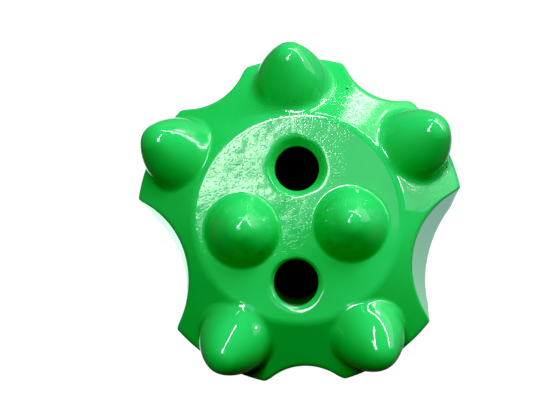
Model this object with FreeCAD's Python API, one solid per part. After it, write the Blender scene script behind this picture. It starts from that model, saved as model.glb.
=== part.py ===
"""Tapered-socket button drill bit, 42 mm gauge, with seven carbide buttons.

The steel bit is a turned body with five wings. Its flat cutting face is ringed by a
cone that carries five gauge buttons, and two front buttons stand on the flat. Three
small flutes and two large ones between the wings let the cuttings out, and two
flushing holes bring water from the tapered socket up to the face.

Millimetres. The bit axis is Z, the skirt end is at z = 0 and the cutting face is up.
"""
import FreeCAD, Part
import math
import os

Vector = FreeCAD.Vector

# Body of revolution
body_length = 60.0
face_radius = 12.45
rim_radius = 20.0
cone_angle = 37.8
face_edge_round = 1.2
rim_edge_round = 0.5
wing_height = 11.0
wing_taper = 4.0
neck_angle = 24.0
skirt_radius = 16.5
skirt_chamfer = 0.8

# Tapered socket for the drill rod
socket_mouth_radius = 11.0
socket_half_taper = 3.5
socket_depth = 44.0
socket_mouth_chamfer = 0.6

# Small flutes, parallel to the bit axis
small_flute_radius = 6.6
small_flute_axis = 24.2
small_flute_angles = [58.8, 121.2, 270.0]

# Large flutes, leaning outwards towards the skirt
large_flute_radius = 11.4
large_flute_axis = 25.4
large_flute_lean = 7.0
large_flute_angles = [-15.0, 195.0]

# Gauge buttons, square to the cone, measured over their enamel
gauge_button_radius = 4.5
gauge_button_height = 5.9
gauge_button_tip_radius = 2.4
gauge_button_flank_radius = 12.3
gauge_button_shank = 8.0
upper_gauge_circle = 16.55
lower_gauge_circle = 16.1
upper_gauge_angles = [91.0, 30.8, 149.2]
lower_gauge_angles = [299.4, 240.0]

# Front buttons, square to the flat face, measured over their enamel
front_button_radius = 4.2
front_button_height = 5.05
front_button_tip_radius = 2.3
front_button_flank_radius = 9.5
front_button_shank = 6.2
left_front_circle = 6.75
left_front_angle = 191.1
right_front_circle = 6.4
right_front_angle = 351.2

# Both kinds of button
button_wall_height = 0.4
button_foot_chamfer = 0.6
button_fit_clearance = 0.01

# Flushing holes, leaning in towards the axis as they go down to the socket
flushing_radius = 2.6
upper_flushing_circle = 6.1
upper_flushing_angle = 89.0
upper_flushing_lean = 10.0
upper_countersink_radius = 3.45
lower_flushing_circle = 7.75
lower_flushing_angle = 266.9
lower_flushing_lean = 17.0
lower_countersink_radius = 3.1
countersink_half_angle = 40.0

# How far a cutting tool runs past the surface that it leaves
tool_overrun = 2.0


def tangent(degrees):
    """Tangent of an angle in degrees."""
    return math.tan(math.radians(degrees))


def point(radius, height):
    """A profile point in the XZ half plane."""
    return Vector(radius, 0, height)


def polar(radius, degrees, height):
    """A point at a radius and an angle about the bit axis."""
    turn = math.radians(degrees)
    return Vector(radius * math.cos(turn), radius * math.sin(turn), height)


def cone_height(radius):
    """Height of the cone that rings the flat face, at a radius from the axis."""
    return body_length - (radius - face_radius) * tangent(cone_angle)


def rounded_corner(before, corner, after, radius):
    """Two tangent points and the middle of the arc that rounds a profile corner."""
    inward = (before - corner).normalize()
    onward = (after - corner).normalize()
    half = inward.getAngle(onward) / 2
    setback = radius / math.tan(half)
    middle = corner + (inward + onward).normalize() * (radius / math.sin(half) - radius)
    return corner + inward * setback, middle, corner + onward * setback


def revolved(edges):
    """The solid swept by a closed profile turned once round the bit axis."""
    face = Part.Face(Part.Wire(edges))
    return face.revolve(Vector(0, 0, 0), Vector(0, 0, 1), 360)


def body_blank():
    """The turned body: face, cone, rim, tapered wings, neck, skirt and socket."""
    rim_height = cone_height(rim_radius)
    wing_foot_height = rim_height - wing_height
    wing_foot_radius = rim_radius - wing_height * tangent(wing_taper)
    neck_height = wing_foot_height - (wing_foot_radius - skirt_radius) / tangent(neck_angle)
    socket_end_radius = socket_mouth_radius - socket_depth * tangent(socket_half_taper)

    axis_top = point(0, body_length)
    face_edge = point(face_radius, body_length)
    rim_edge = point(rim_radius, rim_height)
    wing_foot = point(wing_foot_radius, wing_foot_height)
    face_arc = rounded_corner(axis_top, face_edge, rim_edge, face_edge_round)
    rim_arc = rounded_corner(face_edge, rim_edge, wing_foot, rim_edge_round)
    mouth_side = point(
        socket_mouth_radius - socket_mouth_chamfer * tangent(socket_half_taper),
        socket_mouth_chamfer)

    straight_runs = [
        [axis_top, face_arc[0]],
        [face_arc[2], rim_arc[0]],
        [rim_arc[2],
         wing_foot,
         point(skirt_radius, neck_height),
         point(skirt_radius, skirt_chamfer),
         point(skirt_radius - skirt_chamfer, 0),
         point(socket_mouth_radius + socket_mouth_chamfer, 0),
         mouth_side,
         point(socket_end_radius, socket_depth),
         point(0, socket_depth),
         axis_top],
    ]
    edges = []
    for run in straight_runs:
        for start, end in zip(run, run[1:]):
            edges.append(Part.LineSegment(start, end).toShape())
    edges.insert(1, Part.Arc(*face_arc).toShape())
    edges.insert(3, Part.Arc(*rim_arc).toShape())
    return revolved(edges)


def small_flute(degrees):
    """Cutter of one small flute, a cylinder parallel to the bit axis."""
    start = polar(small_flute_axis, degrees, -tool_overrun)
    return Part.makeCylinder(
        small_flute_radius, body_length + 2 * tool_overrun, start, Vector(0, 0, 1))


def large_flute(degrees):
    """Cutter of one large flute, a cylinder that leans out towards the skirt."""
    lean = tangent(large_flute_lean)
    top = polar(large_flute_axis - tool_overrun * lean, degrees, body_length + tool_overrun)
    foot = polar(large_flute_axis + body_length * lean, degrees, 0)
    run = foot - top
    return Part.makeCylinder(large_flute_radius, run.Length, top, run)


def button(radius, height, tip_radius, flank_radius, shank):
    """A ballistic button on the Z axis, its seat on the steel surface at z = 0.

    The round tip runs into a convex flank, which meets the shank's wall a little
    above the steel. The foot is chamfered so that it presses in.
    """
    tip_centre = height - tip_radius
    # The flank's centre lies one flank radius from the wall's top, and one flank
    # radius less one tip radius from the centre of the tip, so that the two arcs
    # share a tangent.
    across = radius
    along = button_wall_height - tip_centre
    gap = math.hypot(across, along)
    reach = flank_radius - tip_radius
    share = (gap ** 2 + reach ** 2 - flank_radius ** 2) / (2 * gap)
    side = math.sqrt(reach ** 2 - share ** 2)
    flank_x = across / gap * share + along / gap * side
    flank_z = tip_centre + along / gap * share - across / gap * side
    tilt = math.atan2(tip_centre - flank_z, -flank_x)
    wall_tilt = math.atan2(button_wall_height - flank_z, radius - flank_x)
    middle_tilt = (tilt + wall_tilt) / 2
    half_tip = (tilt + math.pi / 2) / 2

    tip = point(0, height)
    tip_middle = point(tip_radius * math.cos(half_tip), tip_centre + tip_radius * math.sin(half_tip))
    shoulder = point(tip_radius * math.cos(tilt), tip_centre + tip_radius * math.sin(tilt))
    flank_middle = point(
        flank_x + flank_radius * math.cos(middle_tilt),
        flank_z + flank_radius * math.sin(middle_tilt))
    wall_top = point(radius, button_wall_height)
    corners = [
        wall_top,
        point(radius, button_foot_chamfer - shank),
        point(radius - button_foot_chamfer, -shank),
        point(0, -shank),
        tip,
    ]
    edges = [
        Part.Arc(tip, tip_middle, shoulder).toShape(),
        Part.Arc(shoulder, flank_middle, wall_top).toShape(),
    ]
    for start, end in zip(corners, corners[1:]):
        edges.append(Part.LineSegment(start, end).toShape())
    return revolved(edges)


def button_hole(radius, shank):
    """Cutter of a button's blind hole on the Z axis, open above z = 0."""
    start = Vector(0, 0, -shank)
    return Part.makeCylinder(
        radius + button_fit_clearance, shank + tool_overrun, start, Vector(0, 0, 1))


def on_cone(shape, circle, degrees):
    """Stand a shape square to the cone, on a circle about the axis."""
    placed = shape.copy()
    placed.rotate(Vector(0, 0, 0), Vector(0, 1, 0), cone_angle)
    placed.translate(Vector(circle, 0, cone_height(circle)))
    placed.rotate(Vector(0, 0, 0), Vector(0, 0, 1), degrees)
    return placed


def on_face(shape, circle, degrees):
    """Stand a shape on the flat face, on a circle about the axis."""
    placed = shape.copy()
    placed.translate(polar(circle, degrees, body_length))
    return placed


def gauge_places():
    """Circle radius and angle of each gauge button."""
    places = [(upper_gauge_circle, degrees) for degrees in upper_gauge_angles]
    places += [(lower_gauge_circle, degrees) for degrees in lower_gauge_angles]
    return places


def front_places():
    """Circle radius and angle of each front button."""
    return [(left_front_circle, left_front_angle), (right_front_circle, right_front_angle)]


def flushing_hole(circle, degrees, lean, countersink_radius):
    """Cutter of one leaning flushing hole with its countersink at the face."""
    mouth = polar(circle, degrees, body_length)
    down = body_length - socket_depth + tool_overrun
    foot = polar(circle - down * tangent(lean), degrees, body_length - down)
    along = (mouth - foot).normalize()
    outside = mouth + along * tool_overrun
    bore = Part.makeCylinder(
        flushing_radius, (outside - foot).Length, foot, along)
    sink_depth = (countersink_radius - flushing_radius) / tangent(countersink_half_angle)
    flare = tool_overrun * tangent(countersink_half_angle)
    sink = Part.makeCone(
        flushing_radius, countersink_radius + flare, sink_depth + tool_overrun,
        mouth - Vector(0, 0, sink_depth), Vector(0, 0, 1))
    return bore.fuse(sink)


def bit_body():
    """The steel body with its flutes, button holes and flushing holes."""
    cutters = [small_flute(degrees) for degrees in small_flute_angles]
    cutters += [large_flute(degrees) for degrees in large_flute_angles]
    gauge_hole = button_hole(gauge_button_radius, gauge_button_shank)
    for circle, degrees in gauge_places():
        cutters.append(on_cone(gauge_hole, circle, degrees))
    front_hole = button_hole(front_button_radius, front_button_shank)
    for circle, degrees in front_places():
        cutters.append(on_face(front_hole, circle, degrees))
    cutters.append(flushing_hole(
        upper_flushing_circle, upper_flushing_angle, upper_flushing_lean,
        upper_countersink_radius))
    cutters.append(flushing_hole(
        lower_flushing_circle, lower_flushing_angle, lower_flushing_lean,
        lower_countersink_radius))
    body = body_blank()
    for cutter in cutters:
        body = body.cut(cutter)
    return body


def gauge_buttons():
    """The five gauge buttons, each named and standing on the cone."""
    shape = button(
        gauge_button_radius, gauge_button_height, gauge_button_tip_radius,
        gauge_button_flank_radius, gauge_button_shank)
    named = {}
    for number, (circle, degrees) in enumerate(gauge_places(), start=1):
        named[f"gauge_button_{number}"] = on_cone(shape, circle, degrees)
    return named


def front_buttons():
    """The two front buttons, each named and standing on the flat face."""
    shape = button(
        front_button_radius, front_button_height, front_button_tip_radius,
        front_button_flank_radius, front_button_shank)
    named = {}
    for number, (circle, degrees) in enumerate(front_places(), start=1):
        named[f"front_button_{number}"] = on_face(shape, circle, degrees)
    return named


def main():
    """Write one STEP file for each piece."""
    os.makedirs("parts", exist_ok=True)
    pieces = {"bit_body": bit_body()}
    pieces.update(gauge_buttons())
    pieces.update(front_buttons())
    for name, shape in pieces.items():
        shape.exportStep(f"parts/{name}.step")
        print(name, shape.isValid(), len(shape.Solids), round(shape.Volume, 1))


main()
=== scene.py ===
import math

import bpy
import numpy as np
from mathutils import Matrix, Vector


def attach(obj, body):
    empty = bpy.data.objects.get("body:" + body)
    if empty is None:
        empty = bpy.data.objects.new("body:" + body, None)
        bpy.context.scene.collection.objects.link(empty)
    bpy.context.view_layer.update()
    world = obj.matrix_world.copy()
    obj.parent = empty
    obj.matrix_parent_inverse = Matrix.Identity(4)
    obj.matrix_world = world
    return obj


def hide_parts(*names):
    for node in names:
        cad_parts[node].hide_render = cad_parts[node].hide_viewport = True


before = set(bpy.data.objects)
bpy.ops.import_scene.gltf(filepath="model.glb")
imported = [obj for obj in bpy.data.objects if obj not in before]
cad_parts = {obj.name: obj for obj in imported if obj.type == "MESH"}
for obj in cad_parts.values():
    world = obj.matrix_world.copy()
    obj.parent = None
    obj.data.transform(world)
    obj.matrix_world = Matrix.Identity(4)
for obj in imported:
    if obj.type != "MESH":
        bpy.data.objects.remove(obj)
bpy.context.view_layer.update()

# The camera looks down on the cutting face from a little below its centre and to the
# right, so that the upper gauge buttons lean away and the lower ones point at it. The
# blacks are deep, and blue is a little stronger in the middle tones than in the shadows.
sensor_width = 36.0
lens = 108.7
view_distance = 0.200
view_roll = math.radians(2.03)
view_lean_up = math.radians(3.51)
view_lean_side = math.radians(-3.05)
aim_offset = Vector((0.00205, -0.00213, -view_distance))
face_height = 0.060
nearest_seen = 0.01
black_level = (0.010, 0.010, 0.016)
blue_channel = 2
blue_response = [(0.010, 0.0060), (0.040, 0.038), (0.10, 0.145), (0.5, 0.55)]
into_view = (
    Matrix.Rotation(view_lean_side, 3, "Y")
    @ Matrix.Rotation(-view_lean_up, 3, "X")
    @ Matrix.Rotation(view_roll, 3, "Z"))
out_of_view = into_view.transposed()
camera_data = bpy.data.cameras.new("camera")
camera_data.sensor_width = sensor_width
camera_data.lens = lens
camera_data.clip_start = nearest_seen
camera = bpy.data.objects.new("camera", camera_data)
camera_place = Vector((0, 0, face_height)) - out_of_view @ aim_offset
camera.matrix_world = Matrix.Translation(camera_place) @ out_of_view.to_4x4()
bpy.context.collection.objects.link(camera)
bpy.context.scene.camera = camera
view = bpy.context.scene.view_settings
view.view_transform = "Standard"
view.use_curve_mapping = True
view.curve_mapping.black_level = black_level
for level, response in blue_response:
    view.curve_mapping.curves[blue_channel].points.new(level, response)
view.curve_mapping.update()


# The enamel is a thick green gloss, dipped or sprayed over the whole finished bit,
# steel and carbide alike. It wrinkled on part of the face and cone as it dried, and has
# two pinholes. Inside the water holes the steel is bare, but its colour is painted shade:
# near black deep down and very dark green near the mouth. Inside the socket the steel is bare.
enamel_green = (0.023, 0.50, 0.078, 1.0)
enamel_deep_green = (0.020, 0.48, 0.070, 1.0)
pinhole_colour = (0.003, 0.012, 0.004, 1.0)
# Painted shade for the water holes: very dark green at the mouth, near black deeper down.
mouth_painted_shade = (0.002, 0.035, 0.002, 1.0)
deep_painted_shade = (0.004, 0.005, 0.004, 1.0)
socket_steel_colour = (0.20, 0.21, 0.20, 1.0)
enamel_roughness = 0.06
wrinkle_roughness = 0.12
bare_steel_roughness = 0.35
socket_metallic = 0.8
enamel_ior = 1.5
cloud_size = 0.006
cloud_steps = (0.35, 0.65)
wrinkle_size = 0.00055
wrinkle_height = 0.000007
pit_spacing = 0.00031
pit_depth = 0.000013
pit_steps = (0.08, 0.46)
swell_size = 0.0032
swell_height = 0.000032
peel_size = 0.0016
peel_height = 0.000003
patch_size = 0.0030
patch_steps = (0.30, 0.62)
least_wrinkled = 0.45
wrinkle_zones = [
    ((-0.0045, 0.0065, face_height), 0.0145, 1.0), ((0.0085, 0.0135, 0.0572), 0.0070, 0.9),
    ((0.0165, 0.0025, 0.0567), 0.0055, 0.9)]
zone_core = 0.35
pinholes = [(0.00637, 0.01561, 0.05658), (0.0181, 0.00581, 0.05492)]
pinhole_radius = 0.00016
pinhole_core = 0.6
bore_radius = 0.0026
socket_mouth = 0.011
socket_depth = 0.044
bore_wall = (bore_radius + 0.00002, bore_radius + 0.00010)
bore_foot = (socket_depth - 0.0002, socket_depth + 0.0002)
# Depths over which the painted shade in the water holes lightens towards the mouth.
shade_fade_depths = (face_height - 0.0050, face_height - 0.0012)
socket_wall = (socket_mouth + 0.0001, socket_mouth + 0.0004)
socket_roof = (socket_depth + 0.0001, socket_depth + 0.0005)
upward = np.array([0, 0, 1.0])
upper_hole = {"circle": 0.0061, "turn": math.radians(89.0), "lean": math.radians(10)}
lower_hole = {"circle": 0.00775, "turn": math.radians(266.9), "lean": math.radians(17)}


class Shade:
    """A value in a material's node tree, on which arithmetic adds Math nodes."""

    def __init__(self, tree, socket=None):
        self.tree = tree
        self.socket = socket

    def node(self, kind, settings=None, inputs=None, output=0):
        """Add a node, set its settings, then fill its sockets with values or links."""
        made = self.tree.nodes.new(kind)
        for name, setting in (settings or {}).items():
            setattr(made, name, setting)
        for name, value in (inputs or {}).items():
            if isinstance(value, Shade):
                self.tree.links.new(value.socket, made.inputs[name])
            else:
                made.inputs[name].default_value = value
        return Shade(self.tree, made.outputs[output] if made.outputs else None)

    def math(self, operation, *values):
        """One Math node on values or sockets."""
        return self.node("ShaderNodeMath", {"operation": operation}, dict(enumerate(values)))

    def __add__(self, other):
        return self.math("ADD", self, other)

    __radd__ = __add__

    def __rsub__(self, other):
        return self.math("SUBTRACT", other, self)

    def __mul__(self, other):
        return self.math("MULTIPLY", self, other)

    __rmul__ = __mul__

    def step(self, start, end):
        """A smooth step from 0 at start to 1 at end."""
        return self.node(
            "ShaderNodeMapRange", {"interpolation_type": "SMOOTHSTEP"},
            {"Value": self, "From Min": start, "From Max": end})

    def mix(self, first, second):
        """A colour that goes from first to second as this value goes from 0 to 1."""
        return self.node(
            "ShaderNodeMix", {"data_type": "RGBA"},
            {"Factor": self, 6: first, 7: second}, output=2)

    def coordinate(self, axis):
        """The X, Y or Z of this vector."""
        return self.node("ShaderNodeSeparateXYZ", None, {"Vector": self}, output=axis)

    def distance(self, point):
        """Distance of this vector from a point."""
        return self.node(
            "ShaderNodeVectorMath", {"operation": "DISTANCE"}, {0: self, 1: point},
            output="Value")

    def distance_from_line(self, point, along):
        """Distance of this vector from a line through a point, along a unit vector."""
        away = self.node("ShaderNodeVectorMath", {"operation": "SUBTRACT"}, {0: self, 1: point})
        turned = away.node(
            "ShaderNodeVectorMath", {"operation": "CROSS_PRODUCT"}, {0: away, 1: along})
        return turned.distance((0, 0, 0))


def noise(place, size, detail):
    """Soft random pattern whose features are about size across."""
    return place.node(
        "ShaderNodeTexNoise", None,
        {"Vector": place, "Scale": 1 / size, "Detail": detail}, output="Fac")


def new_material(name):
    """An empty material and a Shade to build its nodes from."""
    material = bpy.data.materials.new(name)
    material.use_nodes = True
    tree = material.node_tree
    tree.nodes.clear()
    return material, Shade(tree)


def finish_surface(start, shader):
    """Link a shader to the material's output."""
    start.node("ShaderNodeOutputMaterial", None, {"Surface": shader})


def level_directions(turn):
    """Unit vectors away from the bit's axis at an angle, and sideways from that."""
    outward = np.array([math.cos(turn), math.sin(turn), 0])
    sideways = np.array([-math.sin(turn), math.cos(turn), 0])
    return outward, sideways


def hole_line(circle, turn, lean):
    """Mouth of a flushing hole and the direction from its foot up to its mouth."""
    outward = level_directions(turn)[0]
    mouth = outward * circle + upward * face_height
    return mouth, outward * math.sin(lean) + upward * math.cos(lean)


def enamel(name):
    """Gloss enamel outside, bare steel in the socket, and painted shade in the flushing holes.

    The relief is counted in peel heights, and is full where the enamel wrinkled.
    """
    material, start = new_material(name)
    place = start.node("ShaderNodeTexCoord", output="Object")
    height = place.coordinate("Z")

    cloud = noise(place, cloud_size, 2.0)
    colour = cloud.step(*cloud_steps).mix(enamel_deep_green, enamel_green)
    for pinhole in pinholes:
        hollow = 1 - place.distance(pinhole).step(
            pinhole_core * pinhole_radius, pinhole_radius)
        colour = hollow.mix(colour, pinhole_colour)
    drilled = 0
    for hole in (upper_hole, lower_hole):
        mouth, along = hole_line(**hole)
        away = place.distance_from_line(tuple(mouth), tuple(along))
        drilled = drilled + (1 - away.step(*bore_wall))
    drilled = drilled * height.step(*bore_foot)
    # The water holes get painted shade, near black deep down and very dark green at the mouth.
    painted_bore_shade = height.step(*shade_fade_depths).mix(deep_painted_shade, mouth_painted_shade)
    colour = drilled.mix(colour, painted_bore_shade)
    axis_distance = place.distance_from_line((0, 0, 0), (0, 0, 1))
    socket = (1 - axis_distance.step(*socket_wall)) * (1 - height.step(*socket_roof))
    colour = socket.mix(colour, socket_steel_colour)

    near = 0
    for centre, reach, strength in wrinkle_zones:
        near = near + strength * (1 - place.distance(centre).step(zone_core * reach, reach))
    patches = noise(place, patch_size, 2.0).step(*patch_steps)
    wrinkled = near * (least_wrinkled + patches * (1 - least_wrinkled))
    bare = drilled + socket
    roughness = (
        enamel_roughness + wrinkled * (wrinkle_roughness - enamel_roughness)
        + bare * bare_steel_roughness)
    wrinkles = noise(place, wrinkle_size, 2.0)
    peel = noise(place, peel_size, 1.0)
    pit_distance = place.node(
        "ShaderNodeTexVoronoi", None, {"Vector": place, "Scale": 1 / pit_spacing},
        output="Distance")
    pits = pit_distance.step(*pit_steps)
    swell = noise(place, swell_size, 1.0)
    relief = (
        wrinkles * (wrinkle_height / peel_height) + pits * (pit_depth / peel_height)
        + swell * (swell_height / peel_height)) * wrinkled + peel
    bump = start.node(
        "ShaderNodeBump", None, {"Height": relief, "Distance": peel_height}, output="Normal")
    shader = start.node("ShaderNodeBsdfPrincipled", None, {
        "Base Color": colour, "Roughness": roughness, "Metallic": socket * socket_metallic,
        "Normal": bump, "IOR": enamel_ior}, output="BSDF")
    finish_surface(start, shader)
    return material


# The body is one piece of alloy steel, turned, then milled with five flutes and drilled.
# Its flat face is ringed by a cone for the gauge buttons. The side tapers back from the
# rim to the skirt, and the tapered socket in the skirt takes the drill rod.
face_radius = 0.01245
face_edge_blend = 0.0005
cone_slope = math.tan(math.radians(37.8))
rim_radius = 0.020
rim_drop = (rim_radius - face_radius) * cone_slope
edge_round = 0.00055
corner_blend = 0.0009
wing_foot = (0.0437, 0.01923)
neck_foot = (0.0375, 0.0165)
skirt_chamfer = 0.0008
socket_end = 0.00831
socket_chamfer = 0.0006
small_flutes = [(math.radians(turn), 0.0242, 0.0066, 0.0) for turn in (58.8, 121.2, 270.0)]
large_flute_lean = math.tan(math.radians(7.0))
large_flutes = [
    (math.radians(turn), 0.0254, 0.0114, large_flute_lean) for turn in (-15.0, 195.0)]
columns = 600
outline_fineness = 20
far_away = 1.0
edge_passes = 8
centre_ring = 0.0006
cone_start = 0.04
row_gap = 0.0005
corner_gap = 0.0003
corner_taper = 0.00002
face_rows, blend_rows, cone_rows, rim_rows = 28, 24, 24, 7
head_rows, neck_rows, skirt_rows = 26, 22, 10
countersink_slope = 1 / math.tan(math.radians(40.0))
lip_softness = 0.00016
lip_rise = 0.000015
lip_overrun = 0.0006
lip_waves = [(3, 1.0, 1.0), (5, 0.7, 0.0), (8, 0.5, 2.0)]
hole_columns = 128
countersink_rows = 18
cutter_top = 0.001
bore_row_depths = (0.0035, 0.008, 0.013, 0.0175)
cutter_end = 0.0176


def smooth_min(first, second, blend):
    """The smaller of two values, rounded over where they differ by less than blend."""
    near = np.maximum(blend - np.abs(first - second), 0) / blend
    return np.minimum(first, second) - near * near * blend / 4


def top_height(radius):
    """Height of the cutting end: the flat face, a blended edge, then the cone."""
    fall = -smooth_min(0 * radius, face_radius - radius, face_edge_blend)
    return face_height - fall * cone_slope


def side_radius(height):
    """Radius of the turned side: tapered wings, a conical neck and a straight skirt."""
    rim_height = face_height - rim_drop
    return np.interp(
        height, [neck_foot[0], wing_foot[0], rim_height, face_height],
        [neck_foot[1], wing_foot[1], rim_radius, rim_radius])


def wall_radius(turn, height):
    """Radius of the milled side at an angle and a height.

    A flute is a cylinder. Its near wall lies at c cos a - sqrt(r^2 - c^2 sin^2 a) from
    the bit axis, where c is the distance of the cylinder's axis, r its radius and a the
    angle from it, and the side is the smooth minimum of that and the turned side.
    """
    radius = side_radius(height)
    for flute_turn, axis, size, lean in small_flutes + large_flutes:
        away = axis + (face_height - height) * lean
        angle = turn - flute_turn
        inside = size ** 2 - (away * np.sin(angle)) ** 2
        meets = (inside > 0) & (np.cos(angle) > 0)
        wall = away * np.cos(angle) - np.sqrt(np.maximum(inside, 0))
        radius = smooth_min(radius, np.where(meets, wall, far_away), corner_blend)
    return radius


def even_turns(count):
    """Angles that share the head's outline, with its flutes, into equal lengths."""
    fine = np.linspace(0, 2 * np.pi, outline_fineness * count + 1)
    radius = wall_radius(fine, face_height - rim_drop)
    steps = np.hypot(np.diff(radius), radius[1:] * np.diff(fine))
    length = np.concatenate([[0], np.cumsum(steps)])
    return np.interp(np.arange(count) * length[-1] / count, length, fine)


def closed_mesh(name, rings, first_pole, last_pole):
    """A closed mesh from rings of points, with a fan of triangles to each pole."""
    rows, count = rings.shape[:2]
    points = np.concatenate([rings.reshape(-1, 3), [first_pole], [last_pole]])
    row = np.arange(rows - 1)[:, None] * count
    column = np.arange(count)[None, :]
    onward = (column + 1) % count
    quads = np.stack(
        [row + column, row + count + column, row + count + onward, row + onward], axis=-1)
    ring = np.arange(count)
    after = (ring + 1) % count
    last = (rows - 1) * count
    top_fan = np.stack([np.full(count, rows * count), ring, after], axis=-1)
    foot_fan = np.stack([np.full(count, rows * count + 1), last + after, last + ring], axis=-1)
    faces = quads.reshape(-1, 4).tolist() + top_fan.tolist() + foot_fan.tolist()
    mesh = bpy.data.meshes.new(name)
    mesh.from_pydata(points.tolist(), [], faces)
    mesh.shade_smooth()
    return mesh


def rounded_corner(share, start, corner, end):
    """A quadratic curve from start to end that is drawn towards the sharp corner."""
    return (1 - share) ** 2 * start + 2 * share * (1 - share) * corner + share ** 2 * end


def body_rings():
    """Rings of the body from the middle of the face, over the rim, to the socket's end.

    Each ring gives a radius and a height at every angle. The rim is rounded from the
    cone to the side.
    """
    turn = even_turns(columns)
    edge = wall_radius(turn, face_height)
    for _ in range(edge_passes):
        edge = wall_radius(turn, top_height(edge))
    corner = top_height(edge)
    flat_end = face_radius - 1.3 * face_edge_blend
    blend_reach = 1.1 * face_edge_blend
    flat = np.concatenate([
        np.linspace(centre_ring, flat_end, face_rows),
        np.linspace(face_radius - blend_reach, face_radius + blend_reach, blend_rows)])[:, None]
    outward = np.linspace(cone_start, 1, cone_rows)[:, None]
    cone = flat[-1] + (edge - edge_round - flat[-1]) * outward
    top = np.concatenate([flat + 0 * turn, cone])
    share = np.linspace(0, 1, rim_rows + 2)[1:-1, None]
    before = (edge - edge_round, top_height(edge - edge_round))
    after = (wall_radius(turn, corner - edge_round), corner - edge_round)
    round_radius = rounded_corner(share, before[0], edge, after[0])
    round_height = rounded_corner(share, before[1], corner, after[1])
    down = np.linspace(0, 1, head_rows)[:, None]
    head = after[1] + (wing_foot[0] + row_gap - after[1]) * down
    neck = np.linspace(wing_foot[0], neck_foot[0] - row_gap, neck_rows)[:, None] + 0 * turn
    skirt = np.linspace(neck_foot[0] - 2 * row_gap, skirt_chamfer, skirt_rows)[:, None] + 0 * turn
    side = np.concatenate([head, neck, skirt])
    skirt_radius = neck_foot[1]
    foot = np.array([
        (skirt_radius - 0.2 * skirt_chamfer, 0.55 * skirt_chamfer),
        (skirt_radius - 0.6 * skirt_chamfer, 0.15 * skirt_chamfer),
        (skirt_radius - skirt_chamfer, 0),
        (socket_mouth + socket_chamfer, 0),
        (socket_mouth, socket_chamfer),
        (socket_mouth - corner_taper, socket_chamfer + corner_gap),
        (socket_end + corner_taper, socket_depth - corner_gap),
        (socket_end, socket_depth),
        (socket_end - corner_gap, socket_depth)])
    radius = np.concatenate([
        top, round_radius, wall_radius(turn, side), foot[:, :1] + 0 * turn])
    height = np.concatenate([
        top_height(top), round_height, side, foot[:, 1:] + 0 * turn])
    return np.stack([radius * np.cos(turn), radius * np.sin(turn), height], axis=-1)


def water_hole(name, circle, turn, lean, sink, lip_wave):
    """Cutter of a flushing hole: a leaning bore under a countersink with a soft lip.

    The countersink's depth falls off as a hyperbola, m (x + sqrt(x^2 + k^2)) / 2, where m
    is the slope, k the lip's softness and x how far a point lies inside the lip, so that
    it meets the face almost flat.
    """
    angle = np.linspace(0, 2 * np.pi, hole_columns + 1)[:-1]
    wave = lip_wave * sum(
        size * np.sin(count * angle + start) for count, size, start in lip_waves)
    share = np.linspace(0, 1, countersink_rows)[:, None]
    reach = bore_radius + (sink + lip_overrun - bore_radius) * (1 - share)
    spread = reach + wave * (1 - share)
    gap = sink - reach
    depth = countersink_slope * (gap + np.sqrt(gap ** 2 + lip_softness ** 2)) / 2 - lip_rise
    outward, sideways = level_directions(turn)
    mouth, along = hole_line(circle, turn, lean)
    spread = np.concatenate([spread[:1], spread])
    depth = np.concatenate([[[-cutter_top]], depth])
    centre = mouth - (outward * math.tan(lean) + upward) * depth[..., None]
    cosine = np.cos(angle)[:, None]
    sine = np.sin(angle)[:, None]
    sunk = centre + spread[..., None] * (cosine * outward + sine * sideways)
    tilted = outward * math.cos(lean) - upward * math.sin(lean)
    down = np.array(bore_row_depths)[:, None, None]
    drilled = mouth - along * down + bore_radius * (cosine * tilted + sine * sideways)
    rings = np.concatenate([sunk, drilled])
    return closed_mesh(name, rings, mouth + upward * cutter_top, mouth - along * cutter_end)


def cut_holes(piece, cutters):
    """Take the cutters out of a piece with boolean modifiers, and keep the result."""
    tools = []
    for mesh in cutters:
        tool = bpy.data.objects.new(mesh.name, mesh)
        bpy.context.collection.objects.link(tool)
        modifier = piece.modifiers.new(mesh.name, "BOOLEAN")
        modifier.operation = "DIFFERENCE"
        modifier.solver = "EXACT"
        modifier.object = tool
        tools.append(tool)
    bpy.context.view_layer.update()
    cut = piece.evaluated_get(bpy.context.evaluated_depsgraph_get())
    piece.data = bpy.data.meshes.new_from_object(cut)
    piece.modifiers.clear()
    for tool in tools:
        bpy.data.objects.remove(tool)


def add_piece(name, mesh, node, material):
    """Put a mesh in the scene as the piece that stands for a node."""
    piece = bpy.data.objects.new(name, mesh)
    bpy.context.collection.objects.link(piece)
    mesh.materials.append(material)
    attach(piece, "root")
    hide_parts(node)
    return piece


body_mesh = closed_mesh(
    "enamelled_body", body_rings(), (0, 0, face_height), (0, 0, socket_depth))
body = add_piece(
    "enamelled_body", body_mesh, "bit_body", enamel("gloss_green_enamel"))
cut_holes(body, [
    water_hole("upper_hole", sink=0.00345, lip_wave=0.00010, **upper_hole),
    water_hole("lower_hole", sink=0.0031, lip_wave=0.00003, **lower_hole)])


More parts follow.
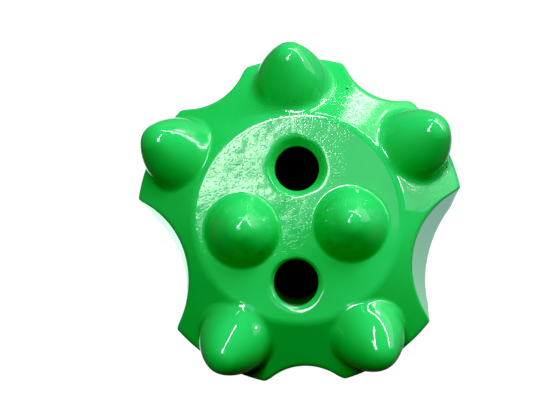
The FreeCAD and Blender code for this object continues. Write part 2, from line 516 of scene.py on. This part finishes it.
# The buttons are cemented carbide with a ballistic tip, pressed into blind holes square
# to the surface that they stand on. The enamel runs over them and fills the corner
# round each foot with a small hollow fillet.
gauge_button = {
    "radius": 0.0045, "height": 0.0059, "tip": 0.0024, "flank": 0.0123, "shank": 0.008,
    "fillet_rise": 0.0010}
front_button = {
    "radius": 0.0042, "height": 0.00505, "tip": 0.0023, "flank": 0.0095, "shank": 0.0062,
    "fillet_rise": 0.0013}
wall_height = 0.0004
foot_chamfer = 0.0006
fillet_toe = 0.00018
gauge_places = [
    (0.01655, 91.0, 0.00075), (0.01655, 30.8, 0.00065), (0.01655, 149.2, 0.00045),
    (0.0161, 299.4, 0.00040), (0.0161, 240.0, 0.00055)]
front_places = [(0.00675, 191.1, 0.00036), (0.0064, 351.2, 0.00036)]
fillet_bend = 0.75
fillet_spread = 0.35
toe_hem = (0.0001, 0.00003)
tuck_depths = (0.0005, 0.0008)
follow_power = 8
tip_opening = 0.06
past_rim_fall = 3
slide_passes = 12
slide_share = 0.5
lowest_slide = -0.0012
button_columns = 144
dome_rows, flank_rows, fillet_rows = 14, 22, 18


def arc(centre, radius, start, end, count):
    """Points of an arc in the profile's plane, from one angle to another."""
    angle = np.linspace(start, end, count)
    return np.stack(
        [centre[0] + radius * np.cos(angle), centre[1] + radius * np.sin(angle)], axis=-1)


def button_profile(radius, height, tip, flank, shank, fillet_rise, fillet_reach):
    """Profile of a button from its tip to the foot of its shank, and the fillet's rows.

    The flank's arc has its centre one flank radius from the wall's top and one flank
    radius less one tip radius from the tip's centre, so that the two arcs are tangent.
    The enamel's fillet is a cubic curve from the flank out to the surface.
    """
    tip_centre = np.array([0, height - tip])
    wall_top = np.array([radius, wall_height])
    chord = wall_top - tip_centre
    gap = np.hypot(*chord)
    reach = flank - tip
    share = (gap ** 2 + reach ** 2 - flank ** 2) / (2 * gap)
    side = math.sqrt(reach ** 2 - share ** 2)
    ahead = chord / gap
    flank_centre = tip_centre + ahead * share + np.array([ahead[1], -ahead[0]]) * side
    joint = math.atan2(*(tip_centre - flank_centre)[::-1])
    rise = math.asin((fillet_rise - flank_centre[1]) / flank)
    dome = arc(tip_centre, tip, math.pi / 2 - tip_opening, joint, dome_rows)
    flank_arc = arc(flank_centre, flank, joint, rise, flank_rows)[1:]
    start = flank_arc[-1]
    lean = np.array([math.sin(rise), -math.cos(rise)])
    corner = start + lean * (start[1] / math.cos(rise))
    bend = start + (corner - start) * fillet_bend
    spread = np.array([radius + fillet_spread * fillet_reach, 0])
    toe = np.array([radius + fillet_reach + fillet_toe, 0])
    step = np.linspace(0, 1, fillet_rows + 1)[1:, None]
    fillet = (
        (1 - step) ** 3 * start + 3 * step * (1 - step) ** 2 * bend
        + 3 * step ** 2 * (1 - step) * spread + step ** 3 * toe)
    under = np.array([
        (toe[0] + toe_hem[0], -toe_hem[1]),
        (radius + fillet_reach / 2, -tuck_depths[0]),
        (radius, -tuck_depths[1])])
    foot = np.array([
        (radius, foot_chamfer - shank),
        (radius - foot_chamfer, -shank),
        (radius - 2 * foot_chamfer, -shank)])
    profile = np.concatenate([dome, flank_arc, fillet, under, foot])
    follow = np.concatenate([
        np.zeros(len(dome)), np.linspace(0, 1, len(flank_arc)) ** follow_power,
        np.ones(len(fillet) + len(under)), np.zeros(len(foot))])
    return profile, follow


def button_mesh(name, sizes, circle, turn, fillet_reach, tilt):
    """A button turned about its own axis, its fillet laid on the surface round it.

    Each point of the fillet slides along the button's axis until it lies as far above
    the body's surface as its profile says.
    """
    profile, follow = button_profile(fillet_reach=fillet_reach, **sizes)
    angle = np.linspace(0, 2 * np.pi, button_columns + 1)[:-1]
    outward, sideways = level_directions(turn)
    axis = outward * math.sin(tilt) + upward * math.cos(tilt)
    across = outward * math.cos(tilt) - upward * math.sin(tilt)
    seat = outward * circle + upward * (face_height - max(circle - face_radius, 0) * cone_slope)
    ring = np.cos(angle)[:, None] * across + np.sin(angle)[:, None] * sideways
    flat = seat + profile[:, :1, None] * ring
    slide = np.zeros(flat.shape[:2])
    for _ in range(slide_passes):
        point = flat + slide[..., None] * axis
        away = np.hypot(point[..., 0], point[..., 1])
        past_rim = np.maximum(away - rim_radius + edge_round, 0)
        surface = top_height(away) - past_rim_fall * past_rim
        slide -= (point[..., 2] - surface) * slide_share
    slide = np.maximum(slide, lowest_slide)
    points = flat + (profile[:, 1:] + slide * follow[:, None])[..., None] * axis
    return closed_mesh(name, points, seat + axis * sizes["height"], seat - axis * sizes["shank"])


button_enamel = enamel("gloss_green_button_enamel")
for kind, sizes, tilt, places in [
        ("gauge", gauge_button, math.atan(cone_slope), gauge_places),
        ("front", front_button, 0.0, front_places)]:
    for number, (circle, turn, reach) in enumerate(places, start=1):
        node = f"{kind}_button_{number}"
        name = f"enamelled_{node}"
        mesh = button_mesh(name, sizes, circle, math.radians(turn), reach, tilt)
        add_piece(name, mesh, node, button_enamel)


# The floor is a white table. It is white wherever it shows, but not under the bit, where
# the skirt stands on it. Above and beside the bit, most on the left, it throws some
# greenish light back on the flutes.
floor_size = 3.0
foot_edge = (0.0150, 0.0165)
glow_start = (0.019, 0.024)
glow_end = (0.040, 0.055)
glow_above = (-0.024, -0.014)
glow_left = (-0.020, 0.020)
least_glow = 0.01
even_glow = 0.55
left_glow = 0.95
table_colour = (0.08, 0.08, 0.08, 1.0)
table_roughness = 0.6
white = (1.0, 1.0, 1.0, 1.0)
bounce_colour = (0.55, 1.0, 0.66, 1.0)
floor_mesh = bpy.data.meshes.new("floor")
half = floor_size / 2
floor_mesh.from_pydata(
    [(-half, -half, 0), (half, -half, 0), (half, half, 0), (-half, half, 0)], [],
    [(0, 1, 2, 3)])
floor = bpy.data.objects.new("floor", floor_mesh)
bpy.context.collection.objects.link(floor)
floor_material, floor_start = new_material("white_table")
floor_place = floor_start.node("ShaderNodeTexCoord", output="Object")
floor_out = floor_place.distance((0, 0, 0))
floor_open = floor_out.step(*foot_edge)
floor_near = floor_out.step(*glow_start) * (1 - floor_out.step(*glow_end))
floor_side = floor_place.coordinate("Y").step(*glow_above)
floor_left = 1 - floor_place.coordinate("X").step(*glow_left)
floor_glow = least_glow + floor_near * floor_side * (even_glow + floor_left * left_glow)
floor_seen = floor_start.node("ShaderNodeLightPath", output="Is Camera Ray")
floor_shader = floor_start.node("ShaderNodeBsdfPrincipled", None, {
    "Base Color": table_colour, "Roughness": table_roughness,
    "Emission Color": floor_seen.mix(bounce_colour, white),
    "Emission Strength": floor_glow * (1 - floor_seen) + floor_open * floor_seen},
    output="BSDF")
finish_surface(floor_start, floor_shader)
floor_mesh.materials.append(floor_material)


# Two narrow tubes draw thin lines down the buttons. A panel and a small light overhead,
# and a window and a lamp on the upper right, draw broad patches. The room is white where
# it shows and nearly dark where it only lights.
face_centre = Vector((0, 0, face_height))
room_dimness = 0.008


def rectangle_light(name, place, width, length, power):
    """A rectangular lamp, its width along the X and its length along the Y of its place."""
    data = bpy.data.lights.new(name, "AREA")
    data.shape = "RECTANGLE"
    data.size = width
    data.size_y = length
    data.energy = power
    light = bpy.data.objects.new(name, data)
    light.matrix_world = place
    bpy.context.collection.objects.link(light)


def area_light(name, middle, width, length, power):
    """A rectangular lamp round a point, facing the bit."""
    facing = (face_centre - Vector(middle)).to_track_quat("-Z", "Y").to_matrix().to_4x4()
    rectangle_light(name, Matrix.Translation(middle) @ facing, width, length, power)


def tube_light(name, start, end, thickness, power):
    """A straight lamp between two points, its long side facing the bit."""
    start, end = Vector(start), Vector(end)
    middle = (start + end) / 2
    along = (end - start).normalized()
    facing = face_centre - middle
    facing = (facing - along * facing.dot(along)).normalized()
    turned = Matrix((along, along.cross(facing), -facing)).transposed().to_4x4()
    rectangle_light(
        name, Matrix.Translation(middle) @ turned, (end - start).length, thickness, power)


tube_light("far_tube", (-0.030, 0.512, 0.204), (0.492, 0.141, 0.204), 0.013, 1.6)
tube_light("ceiling_tube", (-0.07, 0.10, 0.51), (0.13, 0.50, 0.51), 0.014, 2.2)
tube_light("ceiling_panel", (-0.0715, 0.030, 0.51), (-0.0715, 0.180, 0.51), 0.087, 0.64)
area_light("window", (0.390, 0.294, 0.12), 0.60, 0.30, 0.93)
area_light("lamp", (0.232, 0.441, 0.127), 0.095, 0.048, 0.21)
area_light("ceiling", (0.01, 0.06, 0.51), 0.10, 0.08, 0.030)

world = bpy.data.worlds.new("room")
bpy.context.scene.world = world
world.use_nodes = True
world.node_tree.nodes.clear()
room = Shade(world.node_tree)
room_seen = room.node("ShaderNodeLightPath", output="Is Camera Ray")
room_light = room.node("ShaderNodeBackground", None, {
    "Color": white, "Strength": room_dimness + room_seen * (1 - room_dimness)})
room.node("ShaderNodeOutputWorld", None, {"Surface": room_light})
